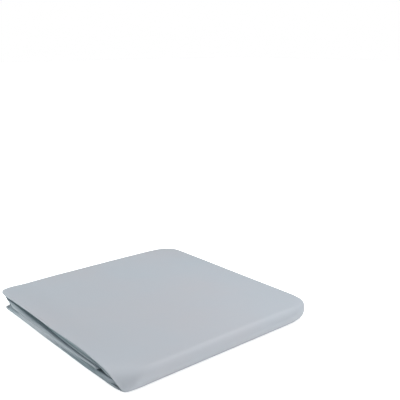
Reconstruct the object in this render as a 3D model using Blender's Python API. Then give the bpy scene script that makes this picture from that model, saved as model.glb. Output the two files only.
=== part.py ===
"""A cover for one bicycle, folded into a flat square packet.

The real cover is two side panels of coated cloth, joined along the ridge that runs over the
bicycle. Folded in half on its length, and in three on its height, it is a long strip of twelve
plies. That strip is then folded like a letter: its free end lies at the bottom, it turns up round
the smooth spine, runs over the top, turns down at the open side and runs back inside, where it ends
in the closed fold that halved the cover.

The strip is modelled as its two halves, one sheet that runs out and back: six passes, each of which
stands for six real plies. X runs along the spine, Y from the spine to the open side, and +Z is up.
"""

import math
from collections import namedtuple

import bmesh
import bpy

# Driving sizes, in metres.
DEPTH = 0.333  # along the spine: the cover's height of 1.00 m, in three
WIDTH = 0.3405  # from the spine to the open side: a sixth of its length of 2.00 m, and the turns
PLY = 0.003  # thickness of the modelled sheet
FREE_END = WIDTH - 0.020  # where the strip's two free ends stop, short of the open side
CLOSED_END = 0.050  # how near the halving fold comes to the spine
CROWN = 0.10  # how much thicker the packet is between its front and back sides
CROWN_POWER = 4  # the higher, the flatter the middle of the crown

# One row for each pass of the sheet, in the order of the cloth:
#   height       of its middle above the surface, at the packet's front and back sides
#   turn         how far from the spine its last fold or end lies
#   front, back  how far its edges stand in from the packet's front and back sides
#   spine_cut, open_cut  how far its corners are cut back round, as radii, for the hidden passes
#   nosed        whether it takes part in the noses of the spine, 0 or 1
#   wave         how far its edges wander to and fro
Pass = namedtuple("Pass", "name height turn front back spine_cut open_cut nosed wave")
PASSES = (
    Pass("bottom, outer", PLY / 2, PLY / 2, 0.0032, 0.0040, 0.0, 0.004, 1, 0.0004),
    Pass("top, outer", 0.0220, WIDTH - PLY / 2, 0.0002, 0.0, 0.0, 0.0, 1, 0.0003),
    Pass("inside, lower", 0.0095, CLOSED_END, 0.0014, 0.0030, 0.0, 0.010, 0, 0.0007),
    Pass("inside, upper", 0.0135, WIDTH - 0.0056, 0.0030, 0.0045, 0.0, 0.022, 0, 0.0007),
    Pass("top, under", 0.0181, 0.0054, 0.0100, 0.0060, 0.030, 0.022, 1, 0.0010),
    Pass("bottom, inner", 0.0053, FREE_END - 0.002, 0.0060, 0.0060, 0.034, 0.006, 0, 0.0006),
)

# The ends that don't lie square: how much further from the spine each is at the back side.
Slant = namedtuple("Slant", "names end further")
SLANTS = (
    Slant(("inside, lower", "inside, upper"), CLOSED_END, -0.012),
    Slant(("bottom, outer", "bottom, inner"), FREE_END, 0.005),
)
SLANT_REACH = 0.12  # along the cloth, from the end

# The packet's four corners in plan, as radii.
SPINE_RADIUS = {"front": 0.032, "back": 0.044}
OPEN_RADIUS = {"front": 0.024, "back": 0.028}

# Where the front edge of a pass lifts, or droops where the lift is negative, between two distances
# from the spine.
Lift = namedtuple("Lift", "name start end lift")
LIFTS = (
    Lift("top, outer", 0.030, 0.330, -0.0008),
    Lift("inside, upper", 0.110, 0.300, 0.0010),
    Lift("bottom, inner", 0.016, 0.047, 0.0016),
)

# Towards the front side the round of the spine draws out into a long low nose, and at the back side
# into a shorter one.
NOSE_LENGTH = 0.037
NOSE_REACH = 0.045  # in from the side
BACK_NOSE = 0.4  # the back nose's share of the front one

# Where the rows and columns of the sheet's grid lie.
END_STEPS = (0.0, 0.0015, 0.004, 0.008, 0.013, 0.020, 0.029)  # from the end of each pass
MIDDLE_STEPS = 4
TURN_STEPS = 8
TIGHT_TURN_STEPS = 6
TIGHT_TURN = 0.003  # turns of a smaller radius than this are tight
EDGE_STEPS = (0.0, 0.0008, 0.0026, 0.007, 0.014, 0.024, 0.045)  # columns, in from each edge
RIM_THICKNESS = (0.4, 0.82)  # share of the full thickness in the first columns, for a soft rim
LIFT_REACH = 0.016  # a front edge lifts over this width
CORNER_DEPTH = 0.293  # a round corner's middle stands in by this share of its radius from each side
CORNER_REACH = 1.25  # in radii
CORNER_POWER = 2.5  # with these three the slid corner follows its arc
WAVE_LENGTH = 0.21  # of the wander of the edges
WAVE_SHIFT = 2.1  # radians from one pass to the next, so that no two edges wander alike
BACK_WAVE_SHIFT = 1.3  # and from the front edge to the back one
SHEET_COLOUR = (0.47, 0.52, 0.56, 1.0)
SHEET_ROUGHNESS = 0.55

Row = namedtuple("Row", "along height pass_index share")


def ease(share):
    share = min(max(share, 0.0), 1.0)
    return share * share * (3 - 2 * share)


def blend(first, second, share):
    return first + (second - first) * share


def turn_radius(index):
    """Radius of the sheet's middle in the fold that ends this pass."""
    return abs(PASSES[index + 1].height - PASSES[index].height) / 2


def run_ends(index):
    """Where the flat run of a pass starts and ends, as distances from the spine."""
    last = len(PASSES) - 1
    towards_spine = -1 if index % 2 == 0 else 1
    if index == 0:
        start = FREE_END
    else:
        start = PASSES[index - 1].turn + towards_spine * turn_radius(index - 1)
    end = PASSES[index].turn
    if index < last:
        end -= towards_spine * turn_radius(index)
    return start, end


def run_stations(start, end):
    """Distances from the spine along one run, closer together near both ends."""
    way = 1 if end > start else -1
    near = [start + way * step for step in END_STEPS]
    far = [end - way * step for step in reversed(END_STEPS)]
    between = [blend(near[-1], far[0], step / MIDDLE_STEPS) for step in range(1, MIDDLE_STEPS)]
    return near + between + far


def section_rows():
    """The sheet's rows from its outer free end to its inner one."""
    rows = []
    for index, row in enumerate(PASSES):
        start, end = run_ends(index)
        rows += [Row(station, row.height, index, 0.0) for station in run_stations(start, end)]
        if index == len(PASSES) - 1:
            break
        radius = turn_radius(index)
        rise = PASSES[index + 1].height - row.height
        way = 1 if end > start else -1
        steps = TIGHT_TURN_STEPS if radius < TIGHT_TURN else TURN_STEPS
        for step in range(1, steps):
            angle = math.pi * step / steps
            height = row.height + rise * (1 - math.cos(angle)) / 2
            rows.append(Row(end + way * radius * math.sin(angle), height, index, step / steps))
    return rows


def between_passes(row, column):
    """A value of PASSES at a row, moving from one pass to the next through the turn."""
    here = PASSES[row.pass_index]
    after = PASSES[min(row.pass_index + 1, len(PASSES) - 1)]
    return blend(getattr(here, column), getattr(after, column), row.share)


def columns_between(front, back):
    """X of each column of a row, closer together near both edges."""
    near = [front + step for step in EDGE_STEPS]
    far = [back - step for step in reversed(EDGE_STEPS)]
    return near + [blend(near[-1], far[0], 1 / 3), blend(near[-1], far[0], 2 / 3)] + far


def corner_slide(from_side, from_end, radius):
    """How far a point slides in from both sides of a corner, so that a square corner becomes round."""
    reach = CORNER_REACH * radius
    if from_side >= reach or from_end >= reach:
        return 0.0
    closeness = (1 - from_side / reach) * (1 - from_end / reach)
    return CORNER_DEPTH * radius * closeness**CORNER_POWER


def corner_cut(from_end, radius):
    """How far a round corner's edge stands in from its side, this far from the end."""
    short = radius - max(from_end, 0.0)
    return radius - math.sqrt(radius * radius - short * short) if short > 0 else 0.0


def ends_of(row):
    """How far from the spine the sheet's folds lie on both sides of a row: the outer or the inner ones."""
    spine_end = PASSES[0 if row.pass_index < 2 else 4].turn
    if row.share == 0 and row.pass_index in (0, len(PASSES) - 1):
        open_end = FREE_END
    else:
        open_end = PASSES[1 if row.pass_index < 3 else 3].turn
    return spine_end, open_end


def edges_of(row):
    """The front and back edges of the sheet at a row, as X, before the packet's corners are rounded."""
    spine_end, open_end = ends_of(row)
    cut = corner_cut(row.along - spine_end, between_passes(row, "spine_cut"))
    cut += corner_cut(open_end - row.along, between_passes(row, "open_cut"))
    order = row.pass_index + row.share

    def inset(side, phase):
        wander = 1 + math.sin(math.tau * row.along / WAVE_LENGTH + WAVE_SHIFT * order + phase)
        return between_passes(row, side) + between_passes(row, "wave") * wander + cut

    return inset("front", 0.0) - DEPTH / 2, DEPTH / 2 - inset("back", BACK_WAVE_SHIFT)


def slanted(x, row):
    """How much further from the spine a point lies because its end isn't square."""
    further = 0.0
    for slant in SLANTS:
        if PASSES[row.pass_index].name in slant.names:
            near_end = ease(1 - abs(row.along - slant.end) / SLANT_REACH)
            further += slant.further * near_end * (x / DEPTH + 0.5)
    return further


def in_plan(x, row):
    """X and the distance from the spine of a point, once the packet's corners are rounded."""
    along = row.along + slanted(x, row)
    shift_x = shift_along = 0.0
    for side, way in (("front", 1), ("back", -1)):
        from_side = way * x + DEPTH / 2
        at_spine = corner_slide(from_side, along, SPINE_RADIUS[side])
        at_open = corner_slide(from_side, WIDTH - along, OPEN_RADIUS[side])
        shift_x += way * (at_spine + at_open)
        shift_along += at_spine - at_open
    return x + shift_x, along + shift_along


def nose(from_side, from_spine):
    """What is left of a height there: 1 away from the nose, falling like an ellipse along it."""
    if from_spine >= NOSE_LENGTH or from_side >= NOSE_REACH:
        return 1.0
    into = 1 - from_spine / NOSE_LENGTH
    strength = (1 - max(from_side, 0.0) / NOSE_REACH) ** 2
    return 1 - strength * (1 - math.sqrt(1 - into * into))


def lifted(row, from_edge):
    """How far the front edge lifts a point of a run, this far in from that edge."""
    total = 0.0
    for lift in LIFTS:
        if lift.name == PASSES[row.pass_index].name and row.share == 0:
            middle = (lift.start + lift.end) / 2
            half = (lift.end - lift.start) / 2
            total += lift.lift * ease(2 - 2 * abs(row.along - middle) / half)
    return total * ease(1 - from_edge / LIFT_REACH)


def height_of(x, row, front):
    """Height of a point of the sheet's middle, with the packet's crown, noses and lifts."""
    above_bottom = row.height - PASSES[0].height
    crown = 1 + CROWN * (1 - abs(2 * x / DEPTH) ** CROWN_POWER)
    lost = 1 - nose(x + DEPTH / 2, row.along) + BACK_NOSE * (1 - nose(DEPTH / 2 - x, row.along))
    kept = 1 - between_passes(row, "nosed") * lost
    return PASSES[0].height + above_bottom * crown * kept + lifted(row, x - front)


def thickness_at(row_index, last_row, column, last_column):
    """Share of the full thickness at a point of the grid: less along its edges and free ends."""
    column_in = min(column, last_column - column)
    share = RIM_THICKNESS[column_in] if column_in < len(RIM_THICKNESS) else 1.0
    if row_index in (0, last_row):
        share = min(share, RIM_THICKNESS[0])
    return share


def make_sheet(name):
    """The folded sheet: a grid laid along the section, then given its thickness."""
    rows = section_rows()
    last_row = len(rows) - 1
    last_column = len(columns_between(0.0, DEPTH)) - 1
    bm = bmesh.new()
    rim = bm.verts.layers.deform.verify()
    bmesh.ops.create_grid(bm, x_segments=last_row, y_segments=last_column, size=1.0)
    for vert in bm.verts:
        row_index = round((vert.co.x + 1) / 2 * last_row)
        column = round((vert.co.y + 1) / 2 * last_column)
        row = rows[row_index]
        front, back = edges_of(row)
        x = columns_between(front, back)[column]
        plan_x, along = in_plan(x, row)
        vert.co = (plan_x, along - WIDTH / 2, height_of(x, row, front))
        vert[rim][0] = thickness_at(row_index, last_row, column, last_column)
    mesh = bpy.data.meshes.new(name)
    bm.to_mesh(mesh)
    bm.free()
    mesh.shade_smooth()
    sheet = bpy.data.objects.new(name, mesh)
    bpy.context.scene.collection.objects.link(sheet)
    thicken = sheet.modifiers.new("thickness", "SOLIDIFY")
    thicken.thickness = PLY
    thicken.offset = 0.0
    thicken.vertex_group = sheet.vertex_groups.new(name="rim").name
    return sheet


def coated_cloth():
    material = bpy.data.materials.new("coated_cloth")
    material.use_nodes = True
    shader = material.node_tree.nodes["Principled BSDF"]
    shader.inputs["Base Color"].default_value = SHEET_COLOUR
    shader.inputs["Roughness"].default_value = SHEET_ROUGHNESS
    shader.inputs["Metallic"].default_value = 0.0
    return material


def main():
    for old in list(bpy.data.objects):
        bpy.data.objects.remove(old, do_unlink=True)
    cover = make_sheet("folded_cover")
    cover.data.materials.append(coated_cloth())


main()
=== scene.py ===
# %% [markdown]
# # A bicycle cover, folded into a packet
#
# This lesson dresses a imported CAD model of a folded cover. The CAD model is a fixed frame: it says where
# the packet lies and how big it is, in metres. What we add here is the cloth itself, its finish, a
# floor, lights and a camera.
#
# The real cover is two side panels of coated polyester, each 2.00 m by 1.00 m, joined along the ridge.
# It was folded in three on its height, in half on its length, and then in three like a letter. That
# makes 36 plies, and we will fold all of them from one flat grid.

import math
from collections import namedtuple

import bmesh
import bpy
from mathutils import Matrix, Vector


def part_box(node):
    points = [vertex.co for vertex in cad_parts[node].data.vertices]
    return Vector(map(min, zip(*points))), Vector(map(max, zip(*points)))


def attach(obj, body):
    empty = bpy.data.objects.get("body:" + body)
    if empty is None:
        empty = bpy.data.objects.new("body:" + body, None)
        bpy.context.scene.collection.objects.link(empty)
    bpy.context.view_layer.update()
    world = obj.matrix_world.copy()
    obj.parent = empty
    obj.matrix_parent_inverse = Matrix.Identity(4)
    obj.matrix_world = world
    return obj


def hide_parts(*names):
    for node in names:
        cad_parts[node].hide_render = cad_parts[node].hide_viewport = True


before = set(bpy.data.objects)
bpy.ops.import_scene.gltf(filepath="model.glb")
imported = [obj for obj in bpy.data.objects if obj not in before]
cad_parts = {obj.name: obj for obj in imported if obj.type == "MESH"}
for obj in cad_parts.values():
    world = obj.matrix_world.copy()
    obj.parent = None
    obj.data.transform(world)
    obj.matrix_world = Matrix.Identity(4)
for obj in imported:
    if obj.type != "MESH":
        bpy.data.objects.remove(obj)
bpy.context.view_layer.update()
solid_low, solid_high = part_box("folded_cover")
print("the solid packet reaches from", tuple(solid_low), "to", tuple(solid_high))

# %% [markdown]
# ## The view
#
# A camera is a pinhole: the same edges meet the frame at the same places only if its place, its turn and
# its lens all agree. Instead of moving it by eye, we give the three numbers that a fit of the packet's
# corners gave, and keep the shift at zero.

# %% Camera
CAMERA_PLACE = (-0.5024, -0.6931, 0.3829)
CAMERA_DOWN = math.radians(14.06)
CAMERA_ROUND = math.radians(-40.58)
SENSOR = 36.0
FRAME_PIXELS = 400
FOCAL_PIXELS = 621.0

camera_data = bpy.data.cameras.new("camera")
camera_data.sensor_width = SENSOR
camera_data.lens = SENSOR * FOCAL_PIXELS / FRAME_PIXELS
camera = bpy.data.objects.new("camera", camera_data)
camera.location = CAMERA_PLACE
camera.rotation_euler = (math.pi / 2 - CAMERA_DOWN, 0.0, CAMERA_ROUND)
bpy.context.scene.collection.objects.link(camera)
bpy.context.scene.camera = camera
print("lens", round(camera_data.lens, 2), "mm")

# %% [markdown]
# ## Where the folded strip runs
#
# Folded in three on its height and then halved, the cover is a long strip. Its two halves lie on each
# other: six passes of six plies each. The strip's free ends lie at the bottom. It turns up round the
# smooth spine, runs over the top, turns down at the open side and runs back inside, where it ends in
# the closed fold.
#
# Each pass gets one row of a table, in the order in which a finger would follow the cloth. The heights and
# turns are those that shape the solid, so the cloth lies where the solid does. At the back side the edges
# lie a little more in line with each other here. Those at the front side get tables of their own further on.

# %% The six passes
DEPTH = 0.333  # along the spine
WIDTH = 0.3405  # from the spine to the open side
PASS_THICKNESS = 0.003
FREE_END = WIDTH - 0.020  # where the strip's two free ends stop, short of the open side
CLOSED_END = 0.050  # how near the closed fold comes to the spine

# height: of the middle of the pass. turn: how far from the spine its last fold or end lies.
# back: how far its edge at the back side stands in. spine_cut, open_cut: radii that cut its hidden corners.
# wave: how far its edges wander.
Pass = namedtuple("Pass", "name height turn back spine_cut open_cut wave")
PASSES = (
    Pass("bottom, outer", 0.0016, 0.0015, 0.0030, 0.0, 0.004, 0.0004),
    Pass("top, outer", 0.0219, WIDTH - 0.0015, 0.0012, 0.0, 0.0, 0.0002),
    Pass("inside, lower", 0.0095, CLOSED_END, 0.0010, 0.0, 0.010, 0.0004),
    Pass("inside, upper", 0.0135, WIDTH - 0.0056, 0.0014, 0.0, 0.022, 0.0004),
    Pass("top, under", 0.0181, 0.0054, 0.0020, 0.030, 0.022, 0.0008),
    Pass("bottom, inner", 0.0053, FREE_END - 0.002, 0.0028, 0.034, 0.006, 0.0006),
)
LAST_PASS = len(PASSES) - 1
print(len(PASSES), "passes between", CLOSED_END, "and", WIDTH, "m from the spine")

# %% [markdown]
# ## Stations along the strip
#
# A folded sheet is easiest to shape from a flat grid: every row of the grid gets a place on the path, and
# every column gets a place across it. Rows lie close together near the folds, where the cloth bends, and
# further apart on the flat runs. The top pass gets more rows than the hidden ones, because its soft
# creases show.

# %% Rows of the grid
END_STEPS = (0.0, 0.0015, 0.004, 0.008, 0.013, 0.020, 0.029)  # from each end of a run
RUN_STEPS = 16
TOP_RUN_STEPS = 37
TURN_STEPS = (15, 18, 6, 6, 9)  # round the turn after each pass
TOP_PASS = 1

# along: how far a row lies from the spine. share: how far round the turn to the next pass it is. sideways,
# upright: how much one level up in the strip moves a point away from the spine, and up.
Row = namedtuple("Row", "along pass_index share sideways upright")


def blend(first, second, share):
    return first + (second - first) * share


def ease(share):
    """A share from 0 to 1 that starts and ends softly."""
    share = min(max(share, 0.0), 1.0)
    return share * share * (3 - 2 * share)


def turn_radius(index):
    return abs(PASSES[index + 1].height - PASSES[index].height) / 2


def run_ends(index):
    """Where the flat run of a pass starts and ends, as distances from the spine."""
    towards_spine = -1 if index % 2 == 0 else 1
    start = FREE_END
    if index > 0:
        start = PASSES[index - 1].turn + towards_spine * turn_radius(index - 1)
    end = PASSES[index].turn
    if index < LAST_PASS:
        end -= towards_spine * turn_radius(index)
    return start, end


def run_stations(start, end, steps):
    way = 1 if end > start else -1
    near = [start + way * step for step in END_STEPS]
    far = [end - way * step for step in reversed(END_STEPS)]
    between = [blend(near[-1], far[0], step / steps) for step in range(1, steps)]
    return near + between + far


def strip_rows():
    """Rows from the outer free end to the inner one, each with the way that the strip's top side faces."""
    rows = []
    for index in range(len(PASSES)):
        start, end = run_ends(index)
        way = 1 if end > start else -1
        facing = -1 if index % 2 == 0 else 1
        steps = TOP_RUN_STEPS if index == TOP_PASS else RUN_STEPS
        rows += [Row(at, index, 0.0, 0.0, facing) for at in run_stations(start, end, steps)]
        if index == LAST_PASS:
            break
        radius = turn_radius(index)
        outside = -facing * (1 if PASSES[index + 1].height > PASSES[index].height else -1)
        for step in range(1, TURN_STEPS[index]):
            angle = math.pi * step / TURN_STEPS[index]
            along = end + way * radius * math.sin(angle)
            share = (1 - math.cos(angle)) / 2
            rows.append(Row(along, index, share, way * outside * math.sin(angle), facing * math.cos(angle)))
    return rows


ROWS = strip_rows()
print(len(ROWS), "rows")

# %% [markdown]
# ## Stations across the strip
#
# Across the strip the double cloth is folded in three. The ridge third lies in the middle, the other two
# wrap round it: one fold at the back side, and one at the front side, where it closes all six plies in
# one smooth round. Levels count plies from the middle of the strip, from -2.5 to +2.5. One panel lies inside
# the other, so its folds are tighter and get fewer columns.

# %% Columns of the grid
LEVELS = 2.5
EDGE_STEPS = (0.0, 0.0012, 0.0035, 0.008, 0.015, 0.025)  # in from each edge of a third
ACROSS_STEPS = 10
RIDGE_INSET = 0.006
RIDGE_BULGE = -0.2
RIDGE_TURN = 4
ROUND_GATHER = 0.7  # from 0, even columns on a round, to 1, columns drawn to both its ends

# ridge, middle, hem: the levels of its thirds. bulges: how far its two folds stand out, 1 for a half round.
# steps: across its middle third. turns: steps round its two folds. hem_inset: how far its hem stands in.
Panel = namedtuple("Panel", "ridge middle hem front_bulge back_bulge steps front_turn back_turn hem_inset")
OUTER_PANEL = Panel(-0.5, LEVELS, -LEVELS, 1.0, 0.6, 40, 30, 7, 0.009)
INNER_PANEL = Panel(0.5, 1.5, -1.5, 0.4, 0.2, ACROSS_STEPS, 6, 5, 0.0075)

# X is blend(front line, back line, share) + step, and on a round also its bulge, where around goes from 0
# to 1. fold: how far the column lies from the nearest fold.
Column = namedtuple("Column", "share step level bulge around fold")


def third(level, way, steps, start_inset=0.0, end_inset=0.0):
    """The columns of one third, from the front line to the back line, or the other way round."""
    reach = EDGE_STEPS[-1]
    near = [Column(0.0, start_inset + step, level, 0.0, 0.0, step) for step in EDGE_STEPS]
    far = [Column(1.0, -end_inset - step, level, 0.0, 0.0, step) for step in reversed(EDGE_STEPS)]
    between = []
    for step in range(1, steps):
        share = step / steps
        inset = blend(start_inset + reach, -end_inset - reach, share)
        between.append(Column(share, inset, level, 0.0, 0.0, reach))
    columns = near + between + far
    return columns if way > 0 else columns[::-1]


def turn(share, first_level, last_level, bulge, steps, step=0.0):
    """The columns of the half round between two thirds."""
    columns = []
    for index in range(1, steps):
        even = index / steps
        around = blend(even, (1 - math.cos(math.pi * even)) / 2, ROUND_GATHER)
        columns.append(Column(share, step, blend(first_level, last_level, around), bulge, around, 0.0))
    return columns


def panel_columns(panel):
    """One panel from the ridge to its hem."""
    columns = third(panel.ridge, 1, ACROSS_STEPS, start_inset=RIDGE_INSET)
    columns += turn(1.0, panel.ridge, panel.middle, panel.back_bulge, panel.back_turn)
    columns += third(panel.middle, -1, panel.steps)
    columns += turn(0.0, panel.middle, panel.hem, -panel.front_bulge, panel.front_turn)
    columns += third(panel.hem, 1, ACROSS_STEPS, end_inset=panel.hem_inset)
    return columns


ridge_columns = turn(0.0, OUTER_PANEL.ridge, INNER_PANEL.ridge, RIDGE_BULGE, RIDGE_TURN, RIDGE_INSET)
COLUMNS = panel_columns(OUTER_PANEL)[::-1] + ridge_columns + panel_columns(INNER_PANEL)
print(len(COLUMNS), "columns,", len(ROWS) * len(COLUMNS), "points")

# %% [markdown]
# ## The two sides where the layers show
#
# In the middle of the packet the passes lie evenly on each other. At the front side they don't: the top
# pass is pinched thin, the passes inside swell into one soft band, and near the closed fold the plies
# under the top come forward. A short table per pass says between which heights its round lies at the
# front edge, in millimetres, at a few distances from the spine.

# %% Heights of the rounds at the front side
MM = 0.001
# Each row, in millimetres: the distance from the spine, between which two heights the round lies, and how
# far its lower and its upper edge stand in.
FRONT = {
    "bottom, outer": (
        (10, 0.2, 5.4, 4.0, 2.4),
        (35, 0.1, 5.0, 3.8, 2.2),
        (60, 0.1, 4.0, 3.6, 2.4),
        (90, 0.1, 3.9, 3.0, 2.2),
        (150, 0.1, 4.0, 3.8, 2.4),
        (200, 0.1, 4.0, 3.2, 2.2),
        (340, 0.1, 4.0, 3.8, 2.4),
    ),
    "top, outer": (
        (10, 22.6, 24.0, -0.8, -0.8),
        (50, 22.9, 24.3, -0.4, -0.4),
        (66, 23.3, 24.7, 0.0, 0.0),
        (82, 24.0, 25.3, 0.8, 0.8),
        (105, 24.4, 25.6, 1.0, 1.0),
        (130, 24.3, 25.5, 0.8, 0.8),
        (156, 23.8, 25.1, 0.2, 0.2),
        (184, 23.9, 25.2, 0.2, 0.2),
        (219, 24.4, 25.7, 0.2, 0.2),
        (243, 24.6, 25.9, 0.4, 0.4),
        (262, 24.8, 26.1, 0.2, 0.2),
        (290, 25.1, 26.5, -0.5, -0.5),
        (340, 24.2, 26.4, -0.8, -0.8),
    ),
    "inside, lower": (
        (50, 9.9, 11.2, 2.6, 1.2),
        (62, 8.2, 10.9, 4.8, 1.0),
        (72, 7.2, 10.3, 4.8, 0.9),
        (85, 7.4, 9.9, 4.2, 0.8),
        (97, 7.1, 9.8, 2.4, 0.8),
        (120, 7.5, 9.9, 1.4, 0.8),
        (160, 8.6, 10.6, 1.3, 0.7),
        (230, 8.9, 11.2, 1.2, 0.7),
        (268, 8.9, 11.6, 1.4, 0.7),
        (285, 8.8, 11.6, 3.6, 0.8),
        (340, 8.6, 11.6, 4.6, 0.8),
    ),
    "inside, upper": (
        (50, 11.45, 12.9, 1.2, 1.8),
        (66, 11.0, 12.8, 1.0, 2.0),
        (90, 10.1, 12.2, 0.8, 2.0),
        (140, 10.3, 12.4, 0.8, 2.2),
        (175, 11.05, 13.2, 0.7, 3.0),
        (210, 11.35, 13.8, 0.7, 3.6),
        (250, 11.65, 14.4, 0.7, 4.0),
        (275, 11.85, 15.6, 0.7, 4.0),
        (292, 11.85, 16.8, 0.8, 3.2),
        (340, 11.85, 16.8, 0.8, 3.0),
    ),
    "top, under": (
        (7, 17.6, 21.2, 2.6, 4.0),
        (15, 14.8, 21.4, 3.4, 5.5),
        (23, 12.8, 21.6, 3.2, 6.5),
        (32, 11.6, 21.8, 2.8, 7.0),
        (42, 10.5, 21.8, 3.0, 8.0),
        (50, 10.3, 22.0, 4.4, 9.0),
        (57, 12.0, 22.2, 4.4, 9.0),
        (63, 13.1, 22.4, 4.0, 8.5),
        (75, 12.2, 22.8, 3.6, 8.5),
        (95, 12.2, 23.4, 3.6, 8.0),
        (140, 12.4, 23.2, 3.6, 8.0),
        (165, 13.0, 23.0, 3.6, 8.0),
        (190, 14.0, 23.0, 5.2, 9.0),
        (215, 14.8, 23.2, 7.0, 10.0),
        (240, 15.8, 23.2, 13.0, 14.0),
        (262, 16.0, 23.0, 14.0, 14.0),
        (340, 16.8, 21.8, 14.0, 14.0),
    ),
    "bottom, inner": (
        (7, 5.7, 9.3, 2.4, 2.6),
        (15, 5.6, 12.4, 2.3, 2.2),
        (23, 5.5, 12.4, 2.4, 2.0),
        (35, 5.3, 11.3, 2.4, 2.2),
        (42, 5.0, 10.3, 2.4, 2.6),
        (52, 4.7, 8.4, 2.4, 4.6),
        (60, 4.5, 7.1, 2.4, 5.2),
        (70, 4.3, 6.1, 2.4, 5.0),
        (85, 4.3, 6.3, 2.3, 4.4),
        (97, 4.2, 6.5, 2.2, 2.6),
        (120, 4.3, 7.2, 2.2, 1.6),
        (160, 4.4, 8.3, 2.2, 1.5),
        (230, 4.4, 8.4, 2.2, 1.5),
        (268, 4.3, 7.3, 2.4, 2.0),
        (285, 4.3, 6.9, 2.4, 4.0),
        (340, 4.3, 6.4, 2.6, 5.0),
    ),
}
FRONT_REACH = 0.050
print("the front side is set at", sum(len(table) for table in FRONT.values()), "places")

# %% [markdown]
# The rounds differ in shape too. The outer ones are true half rounds, and those inside are pressed flat by
# the pile. Right under the top the ends of single plies show, as soft lobes. At the back side, where the
# hidden folds are, plain heights will do.

# %% Shape of the rounds, and the back side
# From 1, a half round, down to 0, a square one.
ROUNDNESS = {
    "bottom, outer": 0.90,
    "bottom, inner": 0.45,
    "inside, lower": 0.20,
    "inside, upper": 0.25,
    "top, under": 0.40,
    "top, outer": 1.0,
}
LOBES = 3
LOBE_DEPTH = 0.80
LOBE_SOFTNESS = 0.7
# How much a round is lobed, at some distances from the spine in millimetres.
LOBED = {"top, under": ((34, 0.0), (60, 1.0), (160, 1.0), (200, 0.3))}
# Between which heights in millimetres each pass lies at the back side.
BACK_HEIGHTS = {
    "bottom, outer": (0.2, 3.4),
    "bottom, inner": (3.6, 6.8),
    "inside, lower": (7.1, 10.6),
    "inside, upper": (10.9, 14.4),
    "top, under": (14.7, 18.1),
    "top, outer": (18.3, 21.3),
}
BACK_REACH = 0.040


def looked_up(table, along):
    """The numbers of a short table at a distance from the spine, moving smoothly between its rows."""
    along = along / MM
    if along <= table[0][0]:
        return table[0][1:]
    for first, second in zip(table, table[1:]):
        if along <= second[0]:
            share = (along - first[0]) / (second[0] - first[0])
            return tuple(blend(a, b, share) for a, b in zip(first[1:], second[1:]))
    return table[-1][1:]


print("the back side ends at", max(high for low, high in BACK_HEIGHTS.values()), "mm")

# %% [markdown]
# ## Corners, crown and noses
#
# The solid's corners are made round by sliding every point near a corner in along the diagonal, and we do
# the same, so that the plies stay in each other. Two of the corners have another radius low down than at
# the top, because folded cloth is never quite even.

# %% Round corners
SPINE_RADIUS = {"front": 0.032, "back": 0.041}
OPEN_RADIUS = {"front": 0.029, "back": 0.028}
CORNER_DEPTH = 0.293  # a round corner's middle stands in by this share of its radius from each side
CORNER_REACH = 1.25  # in radii
CORNER_POWER = 2.5  # with these three the slid corner follows its arc
LOWER_SPINE_CORNER = 0.010  # more radius on the floor, at the back,
LOWER_SPINE_HEIGHT = 0.016  # fading out up to this height
LOWER_OPEN_CORNER = -0.006  # less radius low down, at the front,
LOWER_OPEN_HEIGHT = 0.018  # up to this height,
LOWER_OPEN_FADE = 0.0045  # fading out over this much more


def corner_slide(from_side, from_end, radius):
    """How far a point slides in from both sides of a corner."""
    reach = CORNER_REACH * radius
    if from_side >= reach or from_end >= reach:
        return 0.0
    closeness = (1 - from_side / reach) * (1 - from_end / reach)
    return CORNER_DEPTH * radius * closeness**CORNER_POWER


def corner_cut(from_end, radius):
    """How far a cut corner's edge stands in from its side, this far from the end."""
    short = radius - max(from_end, 0.0)
    return radius - math.sqrt(max(radius * radius - short * short, 0.0)) if short > 0 else 0.0


def in_plan(x, along, height):
    """X and the distance from the spine of a point, once the packet's corners are rounded."""
    spine_radius, open_radius = dict(SPINE_RADIUS), dict(OPEN_RADIUS)
    spine_radius["back"] += LOWER_SPINE_CORNER * (1 - ease(height / LOWER_SPINE_HEIGHT))
    open_radius["front"] += LOWER_OPEN_CORNER * (1 - ease((height - LOWER_OPEN_HEIGHT) / LOWER_OPEN_FADE))
    shift_x = shift_along = 0.0
    for side, way in (("front", 1), ("back", -1)):
        from_side = way * x + DEPTH / 2
        at_spine = corner_slide(from_side, along, spine_radius[side])
        at_open = corner_slide(from_side, WIDTH - along, open_radius[side])
        shift_x += way * (at_spine + at_open)
        shift_along += at_spine - at_open
    return x + shift_x, along + shift_along


print("corner radii", SPINE_RADIUS, OPEN_RADIUS)

# %% [markdown]
# The middle of the packet is a little thicker than its sides: that is its crown. Towards the front the round
# of the spine draws out into a long low nose, which we give as a short table, and towards the back into a
# shorter one. The ends inside don't lie square, and at the open front corner the turn is tucked in towards
# the spine, most at its lower side, so that the free end shows under it.

# %% Crown, noses, slants and tuck
CROWN = 0.10
CROWN_POWER = 4
# What the nose leaves of a height, at some distances from the spine in millimetres.
NOSE_KEEPS = (
    (0, 0.06),
    (5, 0.13),
    (10, 0.29),
    (16, 0.50),
    (22.5, 0.69),
    (31, 0.87),
    (42, 0.955),
    (55, 0.99),
    (75, 1.0),
)
NOSE_REACH = 0.045  # in from the side
BACK_NOSE_LENGTH = 0.037
BACK_NOSE = 0.4
# Each row: passes, where their end lies, and how much further from the spine it is at the front and back.
SLANTS = (
    (("inside, lower", "inside, upper"), CLOSED_END, 0.011, -0.012),
    (("bottom, outer",), FREE_END, 0.0, 0.005),
    (("bottom, inner",), FREE_END, -0.009, 0.005),
)
SLANT_REACH = 0.12
TUCK = 0.031
TUCK_LOW, TUCK_HIGH = 0.0126, 0.0236  # whole at the lower height, none at the upper one
TUCK_POWER = 2.4
TUCK_START = 0.245  # from this far from the spine
TUCK_REACH = 0.055  # in from the front side


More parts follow.
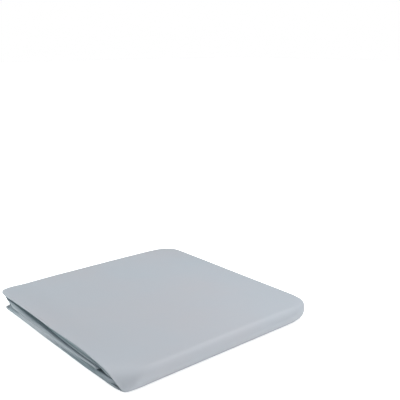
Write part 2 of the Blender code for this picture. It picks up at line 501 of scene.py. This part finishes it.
def kept_height(x, along):
    """What the noses of the spine leave of a height."""
    kept = 1.0
    from_front = max(x + DEPTH / 2, 0.0)
    if from_front < NOSE_REACH:
        strength = (1 - from_front / NOSE_REACH) ** 2
        kept -= strength * (1 - looked_up(NOSE_KEEPS, max(along, 0.0))[0])
    from_back = max(DEPTH / 2 - x, 0.0)
    if from_back < NOSE_REACH and along < BACK_NOSE_LENGTH:
        into = min(1 - along / BACK_NOSE_LENGTH, 1.0)
        strength = BACK_NOSE * (1 - from_back / NOSE_REACH) ** 2
        kept -= strength * (1 - math.sqrt(1 - into * into))
    return kept


def tucked(name, along, x, height):
    """How much nearer the spine the open turn lies at the front corner."""
    if name.startswith("bottom") or along < TUCK_START:
        return 0.0
    low = min(max((TUCK_HIGH - height) / (TUCK_HIGH - TUCK_LOW), 0.0), 1.0) ** TUCK_POWER
    near = ease(1 - (x + DEPTH / 2) / TUCK_REACH)
    return TUCK * low * near * ease((along - TUCK_START) / (WIDTH - TUCK_START))


def slanted(name, along, x):
    """How much further from the spine a point lies because its end isn't square."""
    further = 0.0
    for names, end, at_front, at_back in SLANTS:
        if name in names:
            further += blend(at_front, at_back, x / DEPTH + 0.5) * ease(1 - abs(along - end) / SLANT_REACH)
    return further


print("the nose keeps", NOSE_KEEPS[0][1], "of the height, and the tuck goes", TUCK / MM, "mm in")

# %% [markdown]
# ## Main creases
#
# The top looks flat, but cloth is never quite flat: it rolls off softly towards the spine, the ends of the
# plies inside press through, and the folds leave soft troughs. Each crease here is a line on the packet
# with a width and a height. A crease lifts or sinks the whole pile above it, less and less towards the
# floor, so that no ply meets another.

# %% Soft troughs and ridges
Crease = namedtuple("Crease", "x0 along0 x1 along1 width height")
CREASES = (
    Crease(-0.165, 0.000, 0.165, 0.000, 0.045, -0.0016),
    Crease(0.118, 0.030, 0.128, 0.320, 0.016, -0.0005),
    Crease(-0.118, 0.090, -0.124, 0.300, 0.018, -0.0004),
    Crease(-0.060, 0.110, 0.090, 0.250, 0.030, 0.0004),
    Crease(-0.130, 0.322, 0.160, 0.326, 0.022, 0.0008),
    Crease(0.020, 0.040, 0.100, 0.150, 0.022, 0.0004),
)
CREASE_FADE = 0.25  # a crease fades out over this share of its length,
CREASE_END = 0.3  # and this part of the fade lies beyond its ends
PILE = 0.0235  # from this height up a crease has its whole height


def crease_height(x, along):
    """The sum of all creases at a place, in metres."""
    total = 0.0
    for crease in CREASES:
        run_x, run_along = crease.x1 - crease.x0, crease.along1 - crease.along0
        length = math.hypot(run_x, run_along)
        to_x, to_along = x - crease.x0, along - crease.along0
        down = (to_x * run_x + to_along * run_along) / length
        off = abs(to_x * run_along - to_along * run_x) / length
        fade = ease(min(down, length - down) / (CREASE_FADE * length) + CREASE_END)
        total += crease.height * fade * math.exp(-((off / crease.width) ** 2))
    return total


print(len(CREASES), "creases, the deepest", min(crease.height for crease in CREASES) / MM, "mm")

# %% [markdown]
# ## Fold the cloth
#
# Now every point of the grid gets its place: its row says where it is along the strip and which way the
# strip faces there, its column says how far across it is and on which level. The same numbers hold for a
# whole row, so they are looked up once, and blended with those of the next pass where the row is in a turn.

# %% What holds for a whole row
ROUND = 0.50  # how far a round stands out, for its half height
WAVE_LENGTH = 0.21  # of the wander of the edges
WAVE_SHIFT = 2.1  # radians from one pass to the next, so that no two edges wander alike
BACK_WAVE_SHIFT = 1.3  # and from the front edge to the back one

# Middle heights and ply gaps, at the front side, the back side and between them; how far the lower and upper
# front edges and the back edge stand in; the cut corners; the wander; and the shape of the rounds.
Side = namedtuple(
    "Side",
    "front_mid front_gap back_mid back_gap mid gap low_in high_in back spine_cut open_cut wave round lobed",
)


def moved(values, after, share):
    return tuple(blend(a, b, share) for a, b in zip(values, after))


def side_at(entry, along):
    low, high, low_in, high_in = looked_up(FRONT[entry.name], along)
    back_low, back_high = BACK_HEIGHTS[entry.name]
    lobed = looked_up(LOBED[entry.name], along)[0] if entry.name in LOBED else 0.0
    return Side(
        (low + high) / 2 * MM,
        (high - low) / (2 * LEVELS) * MM,
        (back_low + back_high) / 2 * MM,
        (back_high - back_low) / (2 * LEVELS) * MM,
        entry.height,
        PASS_THICKNESS / (2 * LEVELS),
        low_in * MM,
        high_in * MM,
        entry.back,
        entry.spine_cut,
        entry.open_cut,
        entry.wave,
        ROUNDNESS[entry.name],
        lobed,
    )


def side_of(row):
    here = side_at(PASSES[row.pass_index], row.along)
    after = side_at(PASSES[min(row.pass_index + 1, LAST_PASS)], row.along)
    return Side(*moved(here, after, row.share))


def ends_of(row):
    """How far from the spine the folds lie on both sides of a row: the outer or the inner ones."""
    spine_end = PASSES[0 if row.pass_index < 2 else 4].turn
    if row.share == 0 and row.pass_index in (0, LAST_PASS):
        return spine_end, FREE_END
    return spine_end, PASSES[1 if row.pass_index < 3 else 3].turn


def row_lines(row, side):
    """X of the front and back lines of a row, where its flat thirds end and its rounds begin."""
    spine_end, open_end = ends_of(row)
    cut = corner_cut(row.along - spine_end, side.spine_cut) + corner_cut(open_end - row.along, side.open_cut)
    turned = math.tau * row.along / WAVE_LENGTH + WAVE_SHIFT * (row.pass_index + row.share)
    front = -DEPTH / 2 + side.wave * (1 + math.sin(turned)) + cut + ROUND * LEVELS * side.front_gap
    back = DEPTH / 2 - side.back - side.wave * (1 + math.sin(turned + BACK_WAVE_SHIFT)) - cut
    back -= ROUND * LEVELS * side.back_gap
    return front, back


print("a ply gap is", round(PASS_THICKNESS / (2 * LEVELS) / MM, 2), "mm in the middle of the packet")

# %% [markdown]
# Little light reaches between the plies, and this shade is painted into the cloth's colour. So each point
# also gets a value for how far it lies between other plies, from 0 outside to 1 inside. The lowest plies
# under the closed fold get painted shade too, where the fold hangs over them.

# %% How much painted shade a point gets
PAINTED_SHADE_START = 0.0012  # painted shade starts this far behind the packet's outline,
PAINTED_SHADE_REACH = 0.006  # and is whole this much further in
OUTER_PASSES = 1.5  # the bottom and the top, and the turns up to half round the open side
# The painted shade under the closed fold: its middle, reach, height and strength.
UNDER_FOLD = 0.080  # from the spine
UNDER_FOLD_REACH = 0.125
UNDER_FOLD_HEIGHT = 0.015
UNDER_FOLD_SHADE = 0.84
UNDER_FOLD_RISE = 2  # how fast the painted shade grows down from that height
SPINE_RISE = 4  # how soon only the inner face gets painted shade, in the turn round the spine


# How much painted shade a point gets, deep between the plies and under the closed fold.
def painted_shade_at(row, level, x, along, height):
    share = 0.0
    order = row.pass_index + row.share
    if order > OUTER_PASSES:
        deep = min(x + DEPTH / 2, DEPTH / 2 - x, WIDTH - along)
        share = ease((deep - PAINTED_SHADE_START) / PAINTED_SHADE_REACH)
    if x < 0:
        near = ease(1 - abs(along - UNDER_FOLD) / UNDER_FOLD_REACH)
        near *= ease(UNDER_FOLD_RISE * (1 - height / UNDER_FOLD_HEIGHT))
        if 0 < order < OUTER_PASSES:
            # The outer face of the spine and the top stays in the light.
            inner = ease((LEVELS - level) / LEVELS)
            near *= inner if row.pass_index else blend(1.0, inner, ease(SPINE_RISE * row.share))
        share = max(share, UNDER_FOLD_SHADE * near)
    return share


print("sheltered from", PAINTED_SHADE_START / MM, "mm behind the outline")

# %% [markdown]
# The place itself follows from all of these. Near the front and back sides the heights move over to those of
# the tables. The order matters: the crown, the slants and the tuck first, then the noses and the creases,
# and the round corners last, since their radius goes by the height.

# %% Place of a point
Place = namedtuple("Place", "point sheltered")


def round_profile(around, side):
    """How far a round stands out, from 0 at its ends to 1: a half circle, squarer, or with soft lobes."""
    profile = (4 * around * (1 - around)) ** (side.round / 2)
    lobes = abs(math.sin(LOBES * math.pi * around)) ** LOBE_SOFTNESS
    return profile * (1 - side.lobed * LOBE_DEPTH * (1 - lobes))


def place(row, side, front_line, back_line, column):
    at_front = column.share < 0.5
    half_height = LEVELS * (side.front_gap if at_front else side.back_gap)
    upper = 0.5 + row.upright * column.level / (2 * LEVELS)
    front = front_line + blend(side.low_in, side.high_in, upper)
    x = blend(front, back_line, column.share) + column.step
    if column.bulge:
        x += column.bulge * ROUND * half_height * round_profile(column.around, side)
    near_front = ease(1 - (x + DEPTH / 2) / FRONT_REACH)
    near_back = ease(1 - (DEPTH / 2 - x) / BACK_REACH)
    middle, gap = moved((side.mid, side.gap), (side.front_mid, side.front_gap), near_front)
    middle, gap = moved((middle, gap), (side.back_mid, side.back_gap), near_back)
    crown = 1 + CROWN * (1 - min(abs(2 * x / DEPTH), 1.0) ** CROWN_POWER)
    height = (middle + row.upright * column.level * gap) * crown
    along = row.along + row.sideways * column.level * gap
    name = PASSES[row.pass_index].name
    along += slanted(name, row.along, x) - tucked(name, along, x, height)
    height *= kept_height(x, along)
    pile_share = min(height / PILE, 1.0)
    height += crease_height(x, along) * pile_share * pile_share
    plan_x, plan_along = in_plan(x, along, height)
    sheltered = painted_shade_at(row, column.level, x, along, height)
    return Place((plan_x, plan_along - WIDTH / 2, height), sheltered)


PLACES = []
for row in ROWS:
    side = side_of(row)
    PLACES.append([place(row, side, *row_lines(row, side), column) for column in COLUMNS])
print("highest point", round(max(there.point[2] for line in PLACES for there in line) / MM, 1), "mm")

# %% [markdown]
# ## The grid becomes the cover
#
# The cloth carries its own measures with it. A UV map in metres along and across the flat cloth is what the
# weave and the stitching will follow. We get it by measuring the folded cloth along one column and across
# one row. It comes out a little smaller than the cloth that was cut, because the folds are soft.


def running_lengths(points):
    """Lengths along a line of points, centred on zero."""
    total, lengths = 0.0, [0.0]
    for first, second in zip(points, points[1:]):
        total += math.dist(first, second)
        lengths.append(total)
    return [length - total / 2 for length in lengths]


measured_column = len(COLUMNS) // 3
measured_row = len(ROWS) // 2
flat_along = running_lengths([line[measured_column].point for line in PLACES])
flat_across = running_lengths([there.point for there in PLACES[measured_row]])
print("laid cloth", round(flat_along[-1] * 2, 3), "by", round(flat_across[-1] * 2, 3), "m")

# %% [markdown]
# The sheet comes from create_grid, and we only move its points to their places, so it stays one sheet. Two
# more values go with each point: how much painted shade it gets, and a value that is 1 on a fold and fades
# away from it, for the wear there. Solidify gives the sheet its thickness.

# %% Make the cloth
CLOTH = 0.00012  # thickness
WEAR_REACH = 0.006  # from a fold


def worn_share(row, column):
    """1 on a fold, whether across or along the strip, and 0 away from it."""
    return max(1 - column.fold / WEAR_REACH, 4 * row.share * (1 - row.share), 0.0)


def fold_cover():
    last_row, last_column = len(ROWS) - 1, len(COLUMNS) - 1
    bm = bmesh.new()
    cut = bm.loops.layers.uv.new("cut")
    fold = bm.verts.layers.float.new("fold")
    # Each point's painted shade, for the dark between the plies.
    sheltered = bm.verts.layers.float.new("sheltered")
    bmesh.ops.create_grid(bm, x_segments=last_row, y_segments=last_column, size=1.0)
    # The new grid reaches from -1 to 1 both ways, which tells each point's row and column.
    index_of = {}
    for vert in bm.verts:
        row = round((vert.co.x + 1) / 2 * last_row)
        column = round((vert.co.y + 1) / 2 * last_column)
        index_of[vert] = (row, column)
        vert[fold] = worn_share(ROWS[row], COLUMNS[column])
    for face in bm.faces:
        for loop in face.loops:
            row, column = index_of[loop.vert]
            loop[cut].uv = (flat_along[row], flat_across[column])
    for vert, (row, column) in index_of.items():
        vert.co, vert[sheltered] = PLACES[row][column]
    mesh = bpy.data.meshes.new("cover_cloth")
    bm.to_mesh(mesh)
    bm.free()
    mesh.shade_smooth()
    cover = bpy.data.objects.new("cover_cloth", mesh)
    bpy.context.scene.collection.objects.link(cover)
    thicken = cover.modifiers.new("cloth thickness", "SOLIDIFY")
    thicken.thickness = CLOTH
    thicken.offset = 0.0
    return cover


cover = fold_cover()
print("points", len(cover.data.vertices), "and faces", len(cover.data.polygons))

# %% [markdown]
# ## Shader maths as plain Python
#
# A material is easier to read as an expression than as a web of nodes. The first class holds one output of
# a node, and its operators add the Math node that does the sum. The second one adds any other node.

# %% A socket that can be used in sums
class Value:
    def __init__(self, nodes, socket):
        self.nodes = nodes
        self.socket = socket

    def math(self, operation, *others):
        made = self.nodes.add("ShaderNodeMath", {"operation": operation}, {})
        for socket, value in zip(made.inputs, (self, *others)):
            self.nodes.feed(socket, value)
        return Value(self.nodes, made.outputs["Value"])

    def __add__(self, other):
        return self.math("ADD", other)

    def __mul__(self, other):
        return self.math("MULTIPLY", other)

    def __sub__(self, other):
        return self.math("SUBTRACT", other)

    def __rsub__(self, other):
        return (self * -1.0).math("ADD", other)

    __radd__ = __add__
    __rmul__ = __mul__


class Nodes:
    def __init__(self, owner):
        owner.use_nodes = True
        self.tree = owner.node_tree

    def feed(self, socket, value):
        if isinstance(value, Value):
            self.tree.links.new(value.socket, socket)
        else:
            socket.default_value = value

    def add(self, kind, settings, inputs):
        made = self.tree.nodes.new(kind)
        for name, value in settings.items():
            setattr(made, name, value)
        for name, value in inputs.items():
            self.feed(made.inputs[name.replace("_", " ")], value)
        return made

    def value(self, kind, settings, outlet, **inputs):
        return Value(self, self.add(kind, settings, inputs).outputs[outlet])

    def finish(self, kind, **inputs):
        """Set and feed the sockets of the tree's own last shader."""
        shader = self.tree.nodes[kind]
        for name, value in inputs.items():
            self.feed(shader.inputs[name.replace("_", " ")], value)


print("operators ready")

# %% [markdown]
# ## Coated polyester
#
# The real cloth is tightly woven polyester with a matt waterproof coating. Its panels are sewn with double
# rows of stitches along the hems, the ridge and the end seams. The rows follow the flat cloth, so they read
# the UV map: a row is what lies a certain distance from a line, and its stitches are the first part of every
# few millimetres along it.

# %% Stitches
STITCH = 0.0032  # from one stitch to the next
STITCH_SHARE = 0.62  # of which this part is thread
THREAD = 0.0005  # half the width of a row
HEM_ROWS = (0.0025, 0.0125)
RIDGE_ROWS = (0.0035, 0.0065)
END_ROWS = (0.0025, 0.0110)


def stitch_row(down, off, row_at):
    """1 on the stitches of a row that lies a distance away from a line, 0 beside and between them."""
    near = (off - row_at).math("ABSOLUTE").math("LESS_THAN", THREAD)
    return near * (down * (1 / STITCH)).math("FRACT").math("LESS_THAN", STITCH_SHARE)


def sewing(along, across):
    """The double rows of the two hems, the ridge seam and the two end seams, on the flat cloth."""
    from_hem = flat_across[-1] - across.math("ABSOLUTE")
    from_end = flat_along[-1] - along.math("ABSOLUTE")
    rows = [stitch_row(along, from_hem, row_at) for row_at in HEM_ROWS]
    rows += [stitch_row(along, across.math("ABSOLUTE"), row_at) for row_at in RIDGE_ROWS]
    rows += [stitch_row(across, from_end, row_at) for row_at in END_ROWS]
    sewn = rows[0]
    for row in rows[1:]:
        sewn = sewn.math("MAXIMUM", row)
    return sewn


print(len(HEM_ROWS + RIDGE_ROWS + END_ROWS), "rows of stitches")

# %% [markdown]
# The coating is light grey with a blue cast, a little cloudy where it is thicker or thinner, faintly shiny
# at a low angle, and paler on its folds. The clouds, the grain and the weave follow the flat cloth too. The
# plies inside get a darker colour from the value that each point carries: painted shade for the dark between
# them.

# %% Coated cloth
YARN_PAIR = 0.0005  # how far two yarns of the weave reach
WEAVE = math.tau / YARN_PAIR
# Each noise: scale per metre, detail and roughness.
CLOUDS = (7.0, 3.0, 0.5)
GRAIN = (900.0, 2.0, 0.6)
CRINKLE = (38.0, 2.0, 0.45)
WARM_GREY = (0.474, 0.467, 0.499, 1.0)
BLUE_GREY = (0.414, 0.486, 0.546, 1.0)
WORN_GREY = (0.680, 0.700, 0.720, 1.0)
THREAD_GREY = (0.600, 0.610, 0.620, 1.0)
# The colour of the painted shade between the plies, and how strong it is at most.
PAINTED_SHADE_GREY = (0.188, 0.256, 0.298, 1.0)
WORN_SHARE = 0.10  # how strong each of the last three is at most
THREAD_SHARE = 0.8
PAINTED_SHADE_STRENGTH = 0.85
# How high each stands in the bump, in units of BUMP_DISTANCE.
WEAVE_BUMP = 0.5
GRAIN_BUMP = 0.5
CRINKLE_BUMP = 12.0
STITCH_BUMP = 4.0
BUMP_DISTANCE = 0.0001


def noise(nodes, flat, scale, detail, roughness):
    inputs = {"Vector": flat, "Scale": scale, "Detail": detail, "Roughness": roughness}
    return nodes.value("ShaderNodeTexNoise", {}, "Fac", **inputs)


def mixed(nodes, share, first, second):
    """The first colour where the share is 0, the second where it is 1."""
    return nodes.value("ShaderNodeMix", {"data_type": "RGBA"}, "Result", Factor=share, A=first, B=second)


def coated_cloth():
    material = bpy.data.materials.new("coated_cloth")
    nodes = Nodes(material)
    flat = nodes.value("ShaderNodeUVMap", {"uv_map": "cut"}, "UV")
    along = nodes.value("ShaderNodeSeparateXYZ", {}, "X", Vector=flat)
    across = nodes.value("ShaderNodeSeparateXYZ", {}, "Y", Vector=flat)
    fold = nodes.value("ShaderNodeAttribute", {"attribute_name": "fold"}, "Fac")
    # Each point's painted shade, for the dark between the plies.
    sheltered = nodes.value("ShaderNodeAttribute", {"attribute_name": "sheltered"}, "Fac")
    clouds = noise(nodes, flat, *CLOUDS)
    grain = noise(nodes, flat, *GRAIN)
    crinkle = noise(nodes, flat, *CRINKLE)
    weave = (along * WEAVE).math("SINE") * (across * WEAVE).math("SINE")
    sewn = sewing(along, across)
    cloudy = mixed(nodes, clouds, WARM_GREY, BLUE_GREY)
    worn = mixed(nodes, fold * grain * WORN_SHARE, cloudy, WORN_GREY)
    threaded = mixed(nodes, sewn * THREAD_SHARE, worn, THREAD_GREY)
    # Painted shade: a darker colour deep between the plies and under the closed fold.
    with_painted_shade = mixed(nodes, sheltered * PAINTED_SHADE_STRENGTH, threaded, PAINTED_SHADE_GREY)
    height = weave * WEAVE_BUMP + grain * GRAIN_BUMP + crinkle * CRINKLE_BUMP + sewn * STITCH_BUMP
    bump = {"Height": height, "Strength": 0.10, "Distance": BUMP_DISTANCE}
    nodes.finish(
        "Principled BSDF",
        Base_Color=with_painted_shade,
        Roughness=0.50 + clouds * 0.10 - fold * 0.05,
        Normal=nodes.value("ShaderNodeBump", {}, "Normal", **bump),
        Sheen_Weight=0.15,
        Sheen_Roughness=0.4,
    )
    return material


cover.data.materials.append(coated_cloth())
print("finish", cover.data.materials[0].name)

# %% [markdown]
# ## Floor and light
#
# The packet lies on a plain pale floor under a pale sky. Both look brighter to the camera than the light
# that they give, so that the picture stays white round the packet without flooding it.

# %% Floor and sky
SKY_STRENGTH = 0.16  # as a light
FLOOR_GLOW = 0.70  # to the camera alone
FLOOR_REACH = 12.0  # from the middle to each side
FLOOR_COLOUR = (0.95, 0.96, 0.96, 1.0)


def seen_by_camera(nodes, otherwise, value):
    """A value where the camera looks straight at a thing, and another for the light that it gives."""
    straight = nodes.value("ShaderNodeLightPath", {}, "Is Camera Ray")
    return nodes.value("ShaderNodeMapRange", {}, "Result", Value=straight, To_Min=otherwise, To_Max=value)


def make_floor():
    bm = bmesh.new()
    bmesh.ops.create_grid(bm, x_segments=1, y_segments=1, size=FLOOR_REACH)
    mesh = bpy.data.meshes.new("floor")
    bm.to_mesh(mesh)
    bm.free()
    floor = bpy.data.objects.new("floor", mesh)
    bpy.context.scene.collection.objects.link(floor)
    paint = bpy.data.materials.new("pale_floor")
    nodes = Nodes(paint)
    nodes.finish(
        "Principled BSDF",
        Base_Color=FLOOR_COLOUR,
        Roughness=0.9,
        Specular_IOR_Level=0.1,
        Emission_Color=seen_by_camera(nodes, 0.0, FLOOR_GLOW),
        Emission_Strength=1.0,
    )
    mesh.materials.append(paint)
    return floor


def pale_sky():
    """White where the camera looks at it, and weaker as a light."""
    sky = bpy.data.worlds.new("sky")
    nodes = Nodes(sky)
    nodes.finish("Background", Color=seen_by_camera(nodes, SKY_STRENGTH, 1.0))
    bpy.context.scene.world = sky


floor = make_floor()
pale_sky()
bpy.context.scene.view_settings.view_transform = "Standard"
print("floor", floor.name, "and sky", bpy.context.scene.world.name)

# %% [markdown]
# The light is soft and comes from all round. Two wide suns do most of the work: one from above, leaning away
# from the spine, and one low from the right, so that the top is even and the round of the spine shows one
# soft pale line. A soft box over the right corner lifts that end of the top, and a small greenish one beside
# the far corner reaches in between the plies.

# %% Lamps
WHITE = (1.0, 1.0, 1.0)
GREENISH = (0.84, 1.0, 0.98)
# Each sun: name, where it stands, how many degrees wide it is, and its strength.
SUNS = (
    ("from_above", (0.15, 0.38, 1.0), 60, 1.77),
    ("from_the_right", (-0.235, -1.0, 0.09), 55, 2.28),
)
# Each soft box: name, where it stands, how wide it is, its power and its colour.
SOFT_BOXES = (
    ("over_the_right_corner", (0.42, -0.20, 0.62), 0.4, 1.8, WHITE),
    ("beside_the_far_corner", (-0.55, 0.38, 0.12), 0.25, 0.88, GREENISH),
)


def hang(name, data, place_at):
    """A lamp at a place, turned towards the packet."""
    lamp = bpy.data.objects.new(name, data)
    lamp.location = place_at
    tilt = math.atan2(math.hypot(place_at[0], place_at[1]), place_at[2])
    lamp.rotation_euler = (tilt, 0.0, math.atan2(place_at[0], -place_at[1]))
    bpy.context.scene.collection.objects.link(lamp)


for name, place_at, spread, strength in SUNS:
    data = bpy.data.lights.new(name, "SUN")
    data.angle = math.radians(spread)
    data.energy = strength
    hang(name, data, place_at)
for name, place_at, size, power, colour in SOFT_BOXES:
    data = bpy.data.lights.new(name, "AREA")
    data.shape = "DISK"
    data.size = size
    data.energy = power
    data.color = colour
    hang(name, data, place_at)
print("lamps", [lamp.name for lamp in bpy.context.scene.objects if lamp.type == "LIGHT"])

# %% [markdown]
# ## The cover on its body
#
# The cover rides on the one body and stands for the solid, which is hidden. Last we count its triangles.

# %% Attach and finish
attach(cover, "root")
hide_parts("folded_cover")
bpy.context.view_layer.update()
seen_cover = cover.evaluated_get(bpy.context.evaluated_depsgraph_get())
print("triangles", sum(len(face.vertices) - 2 for face in seen_cover.data.polygons))
